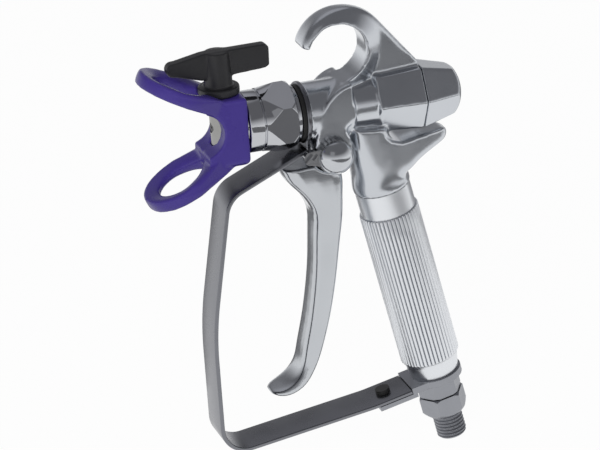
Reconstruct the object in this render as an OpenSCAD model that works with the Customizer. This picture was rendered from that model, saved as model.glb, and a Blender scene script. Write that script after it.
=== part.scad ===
// Airless paint spray gun, in millimetres.
// The barrel lies along X and sprays towards -X. The handle leans back, and the hose screws on below it.
// The shapes are drawn about the point where the barrel axis crosses the handle axis.
// The finished part is moved so that its origin is the centre of the hose thread's shoulder.

/* [Barrel and housing] */
// Radius of the round front barrel
barrel_r = 12.75; // [12:0.25:13.5]
// Distance from the handle axis forward to the barrel's front face
barrel_front = 25; // [24:0.5:28]
// Width across the two side cheeks
cheek_width = 25.8; // [25.6:0.2:28]
// Radius of the cheeks' round front
cheek_r = 16.5; // [15.5:0.5:17.5]
// Radius of the cheeks' lower lobe round the trigger pivot
lobe_r = 8; // [7:0.25:9]
// Rear housing: half width across corners where it starts
housing_r_front = 13; // [12.5:0.25:14]
// Rear housing: half width across corners at the end cap
housing_r_rear = 14.4; // [13.5:0.1:15.5]
// Height of the housing's hexagon against its half width
housing_height = 0.94; // [0.87:0.01:1]
// Distance from the handle axis back to the start of the rear housing
housing_front = 6.8; // [5.5:0.2:8]
// Distance from the handle axis back to the end cap's seam
cap_seam = 26.9; // [25:0.5:30]
// Length of the end cap
cap_len = 18.6; // [16:0.2:22]
// Half width across corners of the end cap's hexagon at its end
cap_r_end = 9.6; // [8.5:0.1:11]

/* [Hook] */
// Radius of the hook's inside
hook_in_r = 12.7; // [11:0.1:14]
// Radius of the hook's outside
hook_out_r = 20.2; // [19:0.1:22]
// Height of the hook's inside centre above the barrel axis
hook_in_z = 25.9; // [24:0.1:28]
// Width of the hook at its inside
hook_width = 16.4; // [14:0.2:19]
// Width of the hook along its outer edge
hook_edge = 6; // [4:0.2:9]

/* [Handle] */
// Lean of the handle, in degrees
rake = 12.3; // [8:0.1:16]
// Distance along the handle axis from the barrel axis to the grip tube
neck_len = 40; // [38:0.5:44]
// Radius of the neck at its lower end
neck_r = 13.1; // [12.9:0.1:13.6]
// Radius of the grip tube's smooth top
sleeve_r = 12.1; // [11:0.1:12.4]
// Length of the grip tube's smooth top
sleeve_len = 11.3; // [8:0.1:14]
// Radius of the grip over its flutes
grip_r = 13; // [12.6:0.1:14]
// Length of the grip tube
grip_len = 92.3; // [85:0.1:100]
// Radius of the grip tube's foot
foot_r = 10.6; // [10.2:0.1:11.4]
// Length of the grip tube's tapered foot
foot_len = 10; // [7:0.5:14]
// Number of flutes round the grip
flutes = 46; // [30:1:52]
// Depth of a flute
flute_depth = 0.7; // [0.4:0.05:0.9]

/* [Inlet] */
// Thickness of the bracket plate under the grip
plate_t = 3; // [2.4:0.1:4]
// Height of the upper hexagon
swivel_h = 7.7; // [6:0.1:9]
// Upper hexagon across flats
swivel_af = 17; // [16:0.5:19]
// Height of the lower hexagon
inlet_h = 9.5; // [8:0.1:12]
// Lower hexagon across flats
inlet_af = 18; // [17:0.5:20]
// Radius of the hose thread
thread_r = 6.58; // [6.4:0.01:6.8]
// Length of the hose thread
thread_len = 11.8; // [10:0.1:15]

/* [Trigger] */
// Trigger pivot in front of the handle axis
pivot_x = 16.2; // [15:0.2:18]
// Trigger pivot below the barrel axis
pivot_z = 16.5; // [15.5:0.2:18]
// Radius of the pivot screw
pivot_r = 3; // [2.5:0.1:3.5]
// Width of the trigger
trigger_width = 16.4; // [13:0.2:18]
// Thickness of the trigger's lug between the cheeks
lug_t = 7.6; // [6:0.2:9]
// Pull of the trigger, in degrees
trigger_pull = 12; // [8:0.5:13]
// Travel of the needle at full pull
needle_travel = 2; // [1:0.1:2.4]
// Radius of the dome nut
dome_r = 7.3; // [6.4:0.1:7.6]

/* [Trigger guard strap] */
// Width of the strap
strap_width = 18.8; // [16:0.2:21]
// Thickness of the strap
strap_t = 1.8; // [1.5:0.1:2.2]
// Reach of the strap in front of the handle axis
strap_reach = 72.6; // [70:0.2:76]
// Depth of the strap's lower corner below the barrel axis
strap_depth = 148; // [145:0.5:152]

/* [Nut and tip guard] */
// Radius of the retaining nut's round front
nut_r = 13.3; // [12.6:0.1:14]
// Retaining nut across flats
nut_af = 27; // [26:0.5:28.5]
// Length of the retaining nut's hexagon
nut_hex_len = 16; // [14:0.2:18]
// Length of the retaining nut's round front
nut_round_len = 7.1; // [6:0.1:9]
// Width of the tip guard's body
guard_width = 23; // [21:0.5:25]
// Height of the tip guard's body above the barrel axis
guard_top = 14.5; // [13.5:0.1:15.5]
// Depth of the tip guard's body below the barrel axis
guard_low = 16.2; // [14.5:0.1:17]
// Length of the tip guard's body
guard_len = 18; // [17:0.5:21]
// Flare of the guard's wings, in degrees
wing_flare = 26; // [20:1:28]
// Outer radius of a wing's round end
wing_r = 17.5; // [15:0.5:18]
// Distance from a wing's root to the centre of its round end
wing_len = 21.4; // [19:0.2:24]
// Thickness of a wing
wing_t = 7.2; // [5:0.2:7.4]
// Width of the wing's rim round its opening
wing_rim = 7.2; // [6:0.1:9]

/* [Spray tip] */
// Radius of the tip's metal barrel
tip_r = 4.75; // [4.2:0.05:5.2]
// Radius of the tip handle's collar
tip_collar_r = 8.9; // [8:0.1:9.4]
// Radius of the tip handle's stem
tip_stem_r = 6; // [5:0.1:6.5]
// Reach of the paddle in front of the tip's axis
paddle_front = 22.6; // [21:0.2:24]
// Reach of the paddle behind the tip's axis
paddle_back = 22.3; // [20:0.2:24]
// Thickness of the paddle
paddle_t = 5.2; // [4:0.2:7]
// Height of the paddle at its back
paddle_h = 9.4; // [8:0.2:11]

/* [Needle valve] */
// Radius of the seat housing's thread, on which the nut screws
housing_thread_r = 8.73; // [8.4:0.01:9]
// Radius of the needle
needle_r = 2; // [1.6:0.1:2.4]
// Radius of the needle's ball
ball_r = 2.8; // [2.5:0.1:3.2]

/* [Fits] */
// Clearance of a turning or sliding fit, on the radius
fit = 0.06; // [0.03:0.01:0.1]
// Clearance between pieces that pass each other
gap = 0.3; // [0.2:0.05:0.4]

/* [Hidden] */
$fn = 64;

// Stations along the handle axis, measured down from the barrel axis
s_grip = neck_len;
s_plate = neck_len + grip_len;
s_swivel = s_plate + plate_t;
s_inlet = s_swivel + swivel_h + gap;
s_thread = s_inlet + inlet_h;
origin_shift = [s_thread * sin(rake), 0, -s_thread * cos(rake)];

// Stations along the barrel axis
ring_t = strap_t;
gasket_t = 1.6;
x_ring = -barrel_front - ring_t;
x_gasket = x_ring - gasket_t;
x_nut_back = x_gasket - gap;
x_nut_seam = x_nut_back - nut_hex_len;
x_nut_front = x_nut_seam - nut_round_len;
x_guard_back = x_nut_front - gap;
x_guard_front = x_guard_back - guard_len;
x_tip = x_guard_back - guard_len / 2;
spigot_len = 1.6;
x_housing_front = x_nut_front + 4.5;
x_housing_back = -13;
seat_r = housing_thread_r - 2.7;
seat_len = 4.5;
seat_hole_r = 2.2;
x_seat_back = x_housing_front + 0.5 + seat_len;
x_ball = x_seat_back + sqrt(ball_r * ball_r - seat_hole_r * seat_hole_r) + gap;
chamber_r = 4.6;
packing_r = 5.8;
packing_len = 4.5;
x_packing = x_housing_back + 1.2;
x_packing_nut = x_packing + packing_len;
packing_nut_len = 2.2;
driver_r = 5;
driver_len = 8;
x_driver = x_packing_nut + packing_nut_len + gap;
x_spring_collar = x_driver + driver_len + needle_travel + 3;
spring_bore_r = 7.4;
collar_len = 2;
x_spring_end = cap_seam + cap_len - 7;
slot_half = lug_t / 2 + gap;

// Pivot and heel of the trigger
pivot = [-pivot_x, -pivot_z];
heel = pivot + [13.6, 5.2];
heel_r = 2.4;
heel_pulled = pivot + [13.6 * cos(trigger_pull) - 5.2 * sin(trigger_pull),
    13.6 * sin(trigger_pull) + 5.2 * cos(trigger_pull)];
ramp_run = heel_pulled - heel - [needle_travel, 0];
ramp_dir = ramp_run / norm(ramp_run);
ramp_normal = [ramp_dir[1], -ramp_dir[0]];
ramp_point = heel + ramp_normal * (heel_r + gap + 0.1);
driver_drop = 12;

// Side faces of the pivot stack, from the near cheek outwards
y_cheek = cheek_width / 2;
lock_t = 3;
y_lock = y_cheek + 0.2;
y_dome = y_lock + lock_t + 0.2;
washer_t = 1;

// Moves a shape drawn about the axis crossing into the part's frame
module placed() translate(-origin_shift) children();

// Turns a shape so that its Z axis runs up the handle
module on_handle() rotate([0, -rake, 0]) children();

// A rod along X from one station to another
module rod(x0, x1, r) translate([x0, 0, 0]) rotate([0, 90, 0]) cylinder(r = r, h = x1 - x0);

// A rod down the handle axis from one station to another
module post(s0, s1, r) on_handle() translate([0, 0, -s1]) cylinder(r = r, h = s1 - s0);

// A rod across the gun, along Y
module cross_rod(p, y0, y1, r) translate([p[0], y0, p[1]]) rotate([-90, 0, 0]) cylinder(r = r, h = y1 - y0);

// A flat outline in X and Z, given a width along Y
module slab(w) rotate([90, 0, 0]) linear_extrude(height = w, center = true) children();

// A hexagonal prism along Z
module hexagon(af, h) cylinder(r = af / sqrt(3), h = h, $fn = 6);

// The outline round two circles and their outer tangents
module link(c1, r1, c2, r2) {
    d = c2 - c1;
    a = atan2(d[1], d[0]);
    b = acos((r1 - r2) / norm(d));
    translate(c1) circle(r = r1);
    translate(c2) circle(r = r2);
    polygon([for (q = [[c1, r1, a + b], [c2, r2, a + b], [c2, r2, a - b], [c1, r1, a - b]])
        q[0] + q[1] * [cos(q[2]), sin(q[2])]]);
}

// The same outline as one run of points, with flats for arcs
function link_points(c1, r1, c2, r2) = let (d = c2 - c1, a = atan2(d[1], d[0]), b = acos((r1 - r2) / norm(d)))
    concat([for (k = [0:16]) let (q = a + b + (360 - 2 * b) * k / 16) c1 + r1 * [cos(q), sin(q)]],
        [for (k = [0:16]) let (q = a - b + 2 * b * k / 16) c2 + r2 * [cos(q), sin(q)]]);

// A hexagonal frustum along X, with corners at its two sides
function hex_ring(x, r) = [for (k = [[-1, 0], [-0.5, 1], [0.5, 1], [1, 0], [0.5, -1], [-0.5, -1]])
    [x, k[0] * r, k[1] * r * housing_height]];
module hex_loft(x0, r0, x1, r1)
    polyhedron(points = concat(hex_ring(x0, r0), hex_ring(x1, r1)),
        faces = concat([[5, 4, 3, 2, 1, 0], [6, 7, 8, 9, 10, 11]],
            [for (i = [0:5]) [i, (i + 1) % 6, (i + 1) % 6 + 6, i + 6]]));

// Skin of a tube of rings, closed at both ends
function ring_faces(rings, sides) = concat(
    [[for (j = [0:sides - 1]) sides - 1 - j]],
    [for (i = [0:rings - 2]) for (j = [0:sides - 1]) each let (k = (j + 1) % sides)
        [[i * sides + j, i * sides + k, (i + 1) * sides + k],
        [i * sides + j, (i + 1) * sides + k, (i + 1) * sides + j]]],
    [[for (j = [0:sides - 1]) (rings - 1) * sides + j]]);

// A wound spring along Z, on a mean radius, with free ends
module spring(mean_r, wire_r, len, turns) {
    rings = turns * 8 + 1;
    lead = len - 2 * wire_r;
    pts = [for (i = [0:rings - 1]) let (a = i * 45, z = wire_r + lead * i / (rings - 1))
        for (j = [0:5]) let (r = mean_r + wire_r * cos(j * 60))
            [r * cos(a), r * sin(a), z + wire_r * sin(j * 60)]];
    echo(str("gap between turns ", lead / turns - 2 * wire_r));
    polyhedron(points = pts, faces = ring_faces(rings, 6));
}

// Smooth curve through a list of points, at a place t from 0 to the last index
function spline(p, t) = let (n = len(p) - 1, i = min(floor(t), n - 1), u = t - i,
    a = p[max(i - 1, 0)], b = p[i], c = p[i + 1], d = p[min(i + 2, n)])
    0.5 * (2 * b + (c - a) * u + (2 * a - 5 * b + 4 * c - d) * u * u + (3 * b - a - 3 * c + d) * u * u * u);

// Side view of a cheek: a round front, a straight back edge and a lobe round the pivot
module cheek_outline() {
    difference() {
        translate([-3.9, -2.6]) circle(r = cheek_r);
        translate([-6, -20]) square([30, 50]);
        translate([-30, -30]) square([60, 30]);
    }
    translate(pivot) circle(r = lobe_r);
    polygon([[-5, 4], [-18.4, 3.4], [-19.6, 0.2], [-23.1, -8.6], pivot + [-lobe_r, 0],
        pivot + lobe_r * [cos(45), -sin(45)], pivot + [lobe_r, 0], [-8, -10.2], [-10, -6.3], [-5, -1.5]]);
}

// Side view of the hook and the web behind it
module hook_outline() {
    difference() {
        union() {
            translate([-6.2, hook_in_z - 1.5]) circle(r = hook_out_r);
            polygon([[-6.2, hook_in_z], [-6.2 + 0.79 * hook_out_r, hook_in_z - 1.5 + 0.614 * hook_out_r],
                [cap_seam, 15.2], [cap_seam, 6], [-6, 6]]);
        }
        translate([-9.8, hook_in_z]) circle(r = hook_in_r);
        polygon([[-50, hook_in_z + 14.3], [-9.8, hook_in_z - 2.3], [-9.8, 0], [-50, 0]]);
        translate([-50, -30]) square([100, 30 + 6]);
    }
}

// Hook with a thick inside and a thin outer edge
module hook() intersection() {
    slab(hook_width) hook_outline();
    translate([-9.8, 0, hook_in_z]) rotate([90, 0, 0]) rotate_extrude()
        polygon([[0, -hook_width / 2], [hook_in_r, -hook_width / 2], [hook_in_r + 7.5, -hook_edge / 2],
            [60, -hook_edge / 2], [60, hook_edge / 2], [hook_in_r + 7.5, hook_edge / 2],
            [hook_in_r, hook_width / 2], [0, hook_width / 2]]);
}

// Thumb rest behind the neck, narrower towards its end
module tang() intersection() {
    slab(30) polygon([[4, -11], [10.3, -15.2], [15.6, -17.2], [28.9, -16.2], [35.6, -15.9], [37.7, -16.7],
        [38.7, -18.6], [38.4, -20.8], [37, -21.9], [28.9, -25.1], [23.3, -28], [20.2, -30.6], [17.8, -31.6],
        [6, -31.6]]);
    translate([0, 0, -60]) linear_extrude(height = 60) polygon([for (side = [1, -1])
        each let (q = [[-4, 12.1], [9, 12.1], [15, 11], [22, 9.2], [30, 7.2], [35, 5.4], [37.6, 3.6],
            [39, 1.2]]) side > 0 ? [for (k = q) [k[0], -k[1]]] : [for (k = [len(q) - 1:-1:0]) q[k]]]);
}

// Neck: a broad rounded block under the barrel that becomes round where the grip tube starts
module neck() {
    sides = 32;
    steps = 10;
    low = [(neck_len - 1) * sin(rake), -(neck_len - 1) * cos(rake)];
    pts = [for (i = [0:steps]) let (t = i / steps, e = 0.42 + 0.58 * pow(t, 1.6), tilt = -6 + (rake + 6) * t,
        c = (1 - t) * [1.2, -8.8] + t * low, h = 7.9 + (neck_r - 9.1) * pow(t, 0.8),
        w = neck_r - 0.8 - 0.4 * t) for (j = [0:sides - 1])
            let (a = 360 * (j + 0.5) / sides, u = h * sign(cos(a)) * pow(abs(cos(a)), e),
            v = w * sign(sin(a)) * pow(abs(sin(a)), e)) [c[0] + u * cos(tilt), v, c[1] + u * sin(tilt)]];
    polyhedron(points = pts, faces = ring_faces(steps + 1, sides));
}

module gun_body() color([0.62, 0.63, 0.65]) placed() difference() {
    union() {
        rod(-barrel_front, -5, barrel_r);
        rod(-6, housing_front + 1, barrel_r - 1.75);
        hex_loft(housing_front, housing_r_front, cap_seam, housing_r_rear);
        slab(cheek_width) cheek_outline();
        hook();
        hex_loft(housing_front - 1, housing_r_front + 0.45, housing_front + 1, housing_r_front + 0.6);
        neck();
        post(neck_len - 3.5, neck_len, neck_r - 0.5);
        tang();
    }
    // Valve bores along the barrel
    rod(-barrel_front - 1, x_housing_back, housing_thread_r + fit);
    rod(x_housing_back - 1, x_packing_nut + packing_nut_len, packing_r + fit);
    rod(x_packing_nut, cap_seam - 8, driver_r + 0.5);
    rod(x_driver + driver_len + needle_travel + 0.8, cap_seam + 1, spring_bore_r);
    rod(cap_seam - 6, cap_seam + 1, spring_bore_r + 1.6 + fit);
    // Slot for the trigger's lug and heel
    slab(2 * slot_half) polygon([[-28, pivot[1] + lobe_r - 0.3],
        [x_housing_back + 0.8, pivot[1] + lobe_r - 0.3], [x_housing_back + 0.8, -5.9],
        [x_driver + driver_len + needle_travel + 1, -5.9],
        [x_driver + driver_len + needle_travel + 1, -14], [-6.2, -20.5], [-6.2, -34], [-28, -34]]);
    translate([x_driver - 0.6, -slot_half, -6]) cube([driver_len + needle_travel + 1.6, 2 * slot_half, 6]);
    cross_rod(pivot, -20, 20, pivot_r + fit);
    // Paint passage and the socket for the grip tube
    post(26, neck_len + 1, 6.5);
    post(neck_len - 10.5, neck_len + 1, 8.5 + fit);
}

module end_cap() color([0.6, 0.61, 0.63]) placed() difference() {
    union() {
        intersection() {
            hex_loft(cap_seam, housing_r_rear, cap_seam + cap_len, cap_r_end);
            translate([cap_seam + cap_len - 17, 0, 0]) sphere(r = 17);
        }
        rod(cap_seam - 5.5, cap_seam + 1, spring_bore_r + 1.6);
    }
    rod(cap_seam - 7, x_spring_end, spring_bore_r);
    rod(x_spring_end - 1, x_spring_end + needle_travel + 2.2, needle_r + fit);
}

// Outline of the fluted grip
module flute_outline() {
    step = 360 / flutes;
    polygon([for (k = [0:flutes - 1])
        for (q = [[-0.26, 0], [0.26, 0], [0.4, flute_depth], [0.6, flute_depth]])
            let (a = (k + q[0]) * step, r = grip_r - q[1]) [r * cos(a), r * sin(a)]]);
}

// Flat-sided cone, one flat to a flute, that tapers the grip's foot
module foot_cone() {
    slope = (grip_r - foot_r) / foot_len;
    rings = [[5 - s_grip, grip_r + 1], [foot_len - s_plate, grip_r], [-s_plate - 1, foot_r - slope]];
    pts = [for (q = rings) for (k = [0:flutes - 1])
        let (a = (k + 0.5) * 360 / flutes, r = q[1] / cos(180 / flutes)) [r * cos(a), r * sin(a), q[0]]];
    polyhedron(points = pts, faces = ring_faces(len(rings), flutes));
}

module grip_tube() color([0.78, 0.79, 0.8]) placed() on_handle() difference() {
    union() {
        translate([0, 0, -s_grip - sleeve_len - 1]) cylinder(r = sleeve_r, h = sleeve_len + 1);
        intersection() {
            translate([0, 0, -s_plate]) linear_extrude(height = grip_len - sleeve_len) flute_outline();
            foot_cone();
        }
        translate([0, 0, -s_grip - 1]) cylinder(r = 8.5, h = 11);
    }
    translate([0, 0, -s_plate - 1]) cylinder(r = 6.6, h = grip_len + 12);
    translate([0, 0, -s_plate - 1]) cylinder(r = 8, h = grip_len - 2);
}

// Bracket under the grip: a plate round the axis and a lowered arm that carries the strap
bracket_step = 14.2;
bracket_reach = 30;
strap_top = s_plate + 0.9;
arm_top = strap_top + strap_t;
arm_t = 2;
pin_x = -25;

module guard_bracket() color([0.66, 0.66, 0.66]) placed() on_handle() difference() {
    union() {
        translate([0, 0, -s_swivel]) cylinder(r = 11.6, h = plate_t);
        translate([-bracket_step, -strap_width / 2, -s_swivel]) cube([bracket_step, strap_width, plate_t]);
        translate([-bracket_step, -strap_width / 2, -arm_top - arm_t])
            cube([2, strap_width, arm_top + arm_t - s_plate]);
        translate([-bracket_reach, -strap_width / 2, -arm_top - arm_t])
            cube([bracket_reach - bracket_step + 1, strap_width, arm_t]);
    }
    translate([0, 0, -s_swivel - 1]) cylinder(r = 8, h = plate_t + 2);
    translate([pin_x, 0, -s_swivel - 10]) cylinder(r = 1.6 + fit, h = 20);
}

module bracket_pin() color([0.2, 0.2, 0.2]) placed() on_handle() translate([pin_x, 0, 0]) {
    translate([0, 0, -strap_top]) cylinder(r = 3.2, h = 2);
    translate([0, 0, -arm_top - arm_t - 1]) cylinder(r = 1.6, h = arm_top + arm_t + 2 - strap_top);
    translate([0, 0, -arm_top - arm_t - 1.6]) cylinder(r = 2.6, h = 1.6);
}

// A hexagon along Z with turned chamfers, c0 below and c1 above
module turned_hexagon(af, h, c0, c1) intersection() {
    hexagon(af, h);
    rotate_extrude() polygon([[0, 0], [af / sqrt(3) - c0, 0], [af / sqrt(3), c0 * 0.8],
        [af / sqrt(3), h - c1 * 0.6], [af / sqrt(3) - c1, h], [0, h]]);
}

module swivel_nut() color([0.6, 0.6, 0.58]) placed() on_handle() difference() {
    union() {
        translate([0, 0, -s_swivel - swivel_h]) turned_hexagon(swivel_af, swivel_h, 0.9, 0.9);
        translate([0, 0, -s_swivel - 0.5]) cylinder(r = 8 - fit, h = plate_t + 9.5);
    }
    translate([0, 0, -s_swivel - swivel_h - 1]) cylinder(r = 5 + fit, h = swivel_h + 1);
    translate([0, 0, -s_swivel - 1]) cylinder(r = 4, h = plate_t + 12);
}

module inlet_fitting() color([0.58, 0.58, 0.56]) placed() on_handle() difference() {
    union() {
        translate([0, 0, -s_thread]) turned_hexagon(inlet_af, inlet_h, 2.4, 0.8);
        translate([0, 0, -s_inlet - 0.5]) cylinder(r = 5, h = swivel_h);
        translate([0, 0, -s_thread - thread_len]) cylinder(r = thread_r, h = thread_len + 0.5);
    }
    translate([0, 0, -s_thread - thread_len - 1]) cylinder(r = 3.5, h = thread_len + inlet_h + swivel_h + 4);
}

// Centreline of the strap, with the radius of each bend
strap_path = [[-barrel_front - 0.9, -14.2], [-strap_reach + 10.1, -30.5], [-strap_reach, -90],
    [-strap_reach + 0.6, -strap_depth], [-32 * cos(rake) + (strap_top + strap_t / 2) * sin(rake),
    -32 * sin(rake) - (strap_top + strap_t / 2) * cos(rake)],
    [-14.5 * cos(rake) + (strap_top + strap_t / 2) * sin(rake),
    -14.5 * sin(rake) - (strap_top + strap_t / 2) * cos(rake)]];
strap_bend = [0, 12, 150, 11, 40, 0];
function heading(i) = let (d = strap_path[i + 1] - strap_path[i]) atan2(d[1], d[0]);
function bend_angle(i) = let (a = heading(i) - heading(i - 1)) a > 180 ? a - 360 : a < -180 ? a + 360 : a;
function bend_run(i) = i == 0 || i == len(strap_path) - 1 ? 0 : strap_bend[i] * tan(abs(bend_angle(i)) / 2);
function along(i, d) = strap_path[i] + d * [cos(heading(i)), sin(heading(i))];

// Centre of bend i, and points round it at an offset to the left of the path
function bend_side(i) = bend_angle(i) > 0 ? 1 : -1;
function bend_centre(i) = along(i - 1, norm(strap_path[i] - strap_path[i - 1]) - bend_run(i))
    + strap_bend[i] * bend_side(i) * [-sin(heading(i - 1)), cos(heading(i - 1))];
function bend_points(i, off) = let (n = ceil(abs(bend_angle(i)) / 4) + 1)
    [for (k = [0:n]) let (a = heading(i - 1) - bend_side(i) * 90 + bend_angle(i) * k / n)
        bend_centre(i) + (strap_bend[i] - bend_side(i) * off) * [cos(a), sin(a)]];
function strap_edge(off) = let (n = len(strap_path) - 1)
    concat([strap_path[0] + off * [-sin(heading(0)), cos(heading(0))]],
        [for (i = [1:n - 1]) each bend_points(i, off)],
        [strap_path[n] + off * [-sin(heading(n - 1)), cos(heading(n - 1))]]);
function backwards(p) = [for (k = [len(p) - 1:-1:0]) p[k]];

module trigger_guard() color([0.35, 0.35, 0.37]) placed() difference() {
    union() {
        slab(strap_width) polygon(concat(strap_edge(strap_t / 2), backwards(strap_edge(-strap_t / 2))));
        rod(x_ring, -barrel_front, barrel_r + 0.8);
        translate([x_ring, -strap_width / 2, -15.4]) cube([ring_t, strap_width, 10]);
    }
    rod(x_ring - 1, -barrel_front + 1, housing_thread_r + 0.2);
    on_handle() translate([pin_x, 0, -arm_top - 2]) cylinder(r = 1.6 + fit, h = strap_t + 6);
}

module front_gasket() color([0.08, 0.08, 0.08]) placed() difference() {
    rod(x_gasket, x_ring, barrel_r - 0.4);
    rod(x_gasket - 1, x_ring + 1, housing_thread_r + 0.2);
}

module retaining_nut() color([0.75, 0.76, 0.78]) placed() difference() {
    union() {
        translate([x_nut_seam, 0, 0]) rotate([0, 90, 0]) intersection() {
            cylinder(r = nut_af / sqrt(3), h = nut_hex_len, $fn = 6);
            rotate_extrude() polygon([[0, 0], [nut_af / 2, 0], [nut_af / 2 + 0.2, 2], [nut_af / 2 + 0.7, 4],
                [nut_af / 2 + 1.4, 5.8], [nut_af / 2 + 2.2, 7.4], [nut_af / 2 + 2.2, nut_hex_len - 4.6],
                [nut_af / 2 + 0.9, nut_hex_len - 2.4], [nut_af / 2 - 0.9, nut_hex_len - 1.6],
                [nut_af / 2 - 1.3, nut_hex_len], [0, nut_hex_len]]);
        }
        rod(x_nut_front, x_nut_seam - 0.8, nut_r);
        rod(x_nut_front, x_nut_seam + 1, nut_r - 0.7);
        rod(x_guard_back - spigot_len, x_nut_front + 1, 10.5);
    }
    rod(x_guard_back - spigot_len - 1, x_nut_back + 1, housing_thread_r + fit);
}

// One looped wing of the tip guard, with its root at a height above the barrel axis
module wing(z) translate([x_tip + 0.4, 0, z]) rotate([0, 180 + wing_flare, 0])
    linear_extrude(height = wing_t, center = true) difference() {
        polygon(link_points([4, 0], 10.6, [wing_len, 0], wing_r));
        polygon(link_points([9.5, 0], 2, [wing_len + 0.5, 0], wing_r - wing_rim));
    }

module tip_guard() color([0.29, 0.24, 0.55]) placed() difference() {
    union() {
        intersection() {
            rod(x_guard_front, x_guard_back, 18);
            translate([x_guard_front, -guard_width / 2, -guard_low])
                cube([guard_len, guard_width, guard_low + guard_top]);
        }
        wing(guard_top - 4.5);
        mirror([0, 0, 1]) wing(guard_low - 3.5);
    }
    rod(x_guard_back - spigot_len - gap, x_guard_back + 1, 10.5 + fit);
    rod(x_tip, x_guard_back, 5.5 + fit);
    translate([x_tip, 0, -12]) cylinder(r = tip_r + fit, h = 40);
    // Dished mouth between the wings
    translate([x_guard_front - 12, 0, 0]) rotate([0, 90, 0]) cylinder(r1 = 19, r2 = 5.6, h = 18);
    // Arch through the side walls, which bares the tip's metal barrel
    cross_rod([x_guard_front - 2.6, 0], -20, 20, guard_top - 4.6);
    // Thin the lower edge of the upper wing's root where the tip passes
    translate([x_tip, 0, guard_top]) cylinder(r = tip_collar_r + gap, h = 20);
}

// Stations up the tip's axis
z_collar = guard_top + gap;
z_paddle = z_collar + 9.7;

// Side view of the paddle: a round nose in front, and a broad square back
module paddle_outline() {
    translate([-paddle_front + 3.1, z_paddle + 3.9]) circle(r = 3.1);
    polygon([[-paddle_front + 3, z_paddle + 1], [-7.5, z_paddle - 2.6], [5.7, z_paddle - 2],
        [paddle_back - 1.8, z_paddle - 1.2], [paddle_back, z_paddle - 0.1],
        [paddle_back + 0.2, z_paddle + paddle_h - 1.5], [paddle_back - 1.6, z_paddle + paddle_h],
        [-6.5, z_paddle + 9.2], [-paddle_front + 2.2, z_paddle + 6.6]]);
}

module tip_handle() color([0.12, 0.12, 0.12]) placed() translate([x_tip, 0, 0]) difference() {
    union() {
        translate([0, 0, z_collar]) cylinder(r = tip_collar_r, h = 3.5);
        translate([0, 0, z_collar + 1])
            cylinder(r1 = tip_stem_r + 0.3, r2 = tip_stem_r - 0.6, h = z_paddle + 8 - z_collar);
        slab(paddle_t) paddle_outline();
    }
    translate([0, 0, z_collar - 1]) cylinder(r = tip_r + fit, h = 4);
}

// Front and back edges of the trigger, from the top to the tip of its foot
trigger_front = [[-37.4, -22.4], [-34.9, -28.8], [-28.6, -36.4], [-24.6, -45], [-24.9, -57], [-26.1, -73],
    [-28.9, -91], [-32.2, -105.5], [-33.9, -113], [-36.8, -118.3], [-41.6, -121.8], [-45.8, -123.2],
    [-48.2, -123.9]];
trigger_back = [[-15, -20.5], [-10.7, -28], [-10.9, -37.5], [-11.5, -48], [-13.3, -60], [-15.9, -76],
    [-19.4, -92], [-24.3, -108], [-28.4, -116.8], [-33.4, -122.6], [-40, -125.7], [-45.3, -125.9],
    [-48.1, -125.1]];
trigger_half = [1.26, 1.3, 1.24, 1.1, 1, 1, 1, 1, 1.03, 1.12, 1.1, 0.86, 0.42];

// Rounded sections between the two edges, as one skin
module trigger_blade() {
    sides = 20;
    steps = 36;
    n = len(trigger_front) - 1;
    pts = [for (i = [0:steps])
        let (t = n * i / steps, f = spline(trigger_front, t), b = spline(trigger_back, t), c = (f + b) / 2,
        h = (f - b) / 2, w = trigger_width / 2 * spline(trigger_half, t))
        for (j = [0:sides - 1]) let (a = -360 * j / sides, u = sign(cos(a)) * pow(abs(cos(a)), 0.5),
            v = sign(sin(a)) * pow(abs(sin(a)), 0.5)) [c[0] + h[0] * u, w * v, c[1] + h[1] * u]];
    polyhedron(points = pts, faces = ring_faces(steps + 1, sides));
}

module trigger() color([0.8, 0.8, 0.81]) placed() difference() {
    union() {
        difference() {
            trigger_blade();
            // Hollows that let the blade swing under the cheeks' lobes
            for (side = [-1, 1]) translate([0, side * (lug_t / 2 + 9.6), 0]) slab(20) translate(pivot)
                polygon([for (k = [0:39]) (lobe_r + 0.65) * [cos(9 * k + 4.5), sin(9 * k + 4.5)]]);
        }
        slab(lug_t) {
            translate(pivot) polygon([for (k = [0:39]) (lobe_r - 0.6) * [cos(9 * k), sin(9 * k)]]);
            polygon(link_points(pivot, 4.5, heel, heel_r));
            translate(pivot + [-4.5, -9]) square([12, 9]);
        }
    }
    cross_rod(pivot, -20, 20, pivot_r + fit);
}

module pivot_screw() color([0.6, 0.6, 0.6]) placed() {
    cross_rod(pivot, -y_dome - 3, y_cheek + washer_t + 1, pivot_r);
    cross_rod(pivot, y_cheek + washer_t, y_cheek + washer_t + 3, 5.4);
}

module pivot_washer() color([0.5, 0.5, 0.5]) placed() difference() {
    cross_rod(pivot, y_cheek, y_cheek + washer_t, 6.4);
    cross_rod(pivot, y_cheek - 1, y_cheek + washer_t + 1, pivot_r + fit);
}

module dome_nut() color([0.7, 0.7, 0.72]) placed() difference() {
    union() {
        cross_rod(pivot, -y_dome - 1.4, -y_dome, dome_r);
        intersection() {
            cross_rod(pivot, -y_dome - 12, -y_dome - 1, dome_r);
            translate([pivot[0], -y_dome + 2.6, pivot[1]]) sphere(r = 8.2);
        }
    }
    cross_rod(pivot, -y_dome - 3.5, 0, pivot_r + fit);
}

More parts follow.
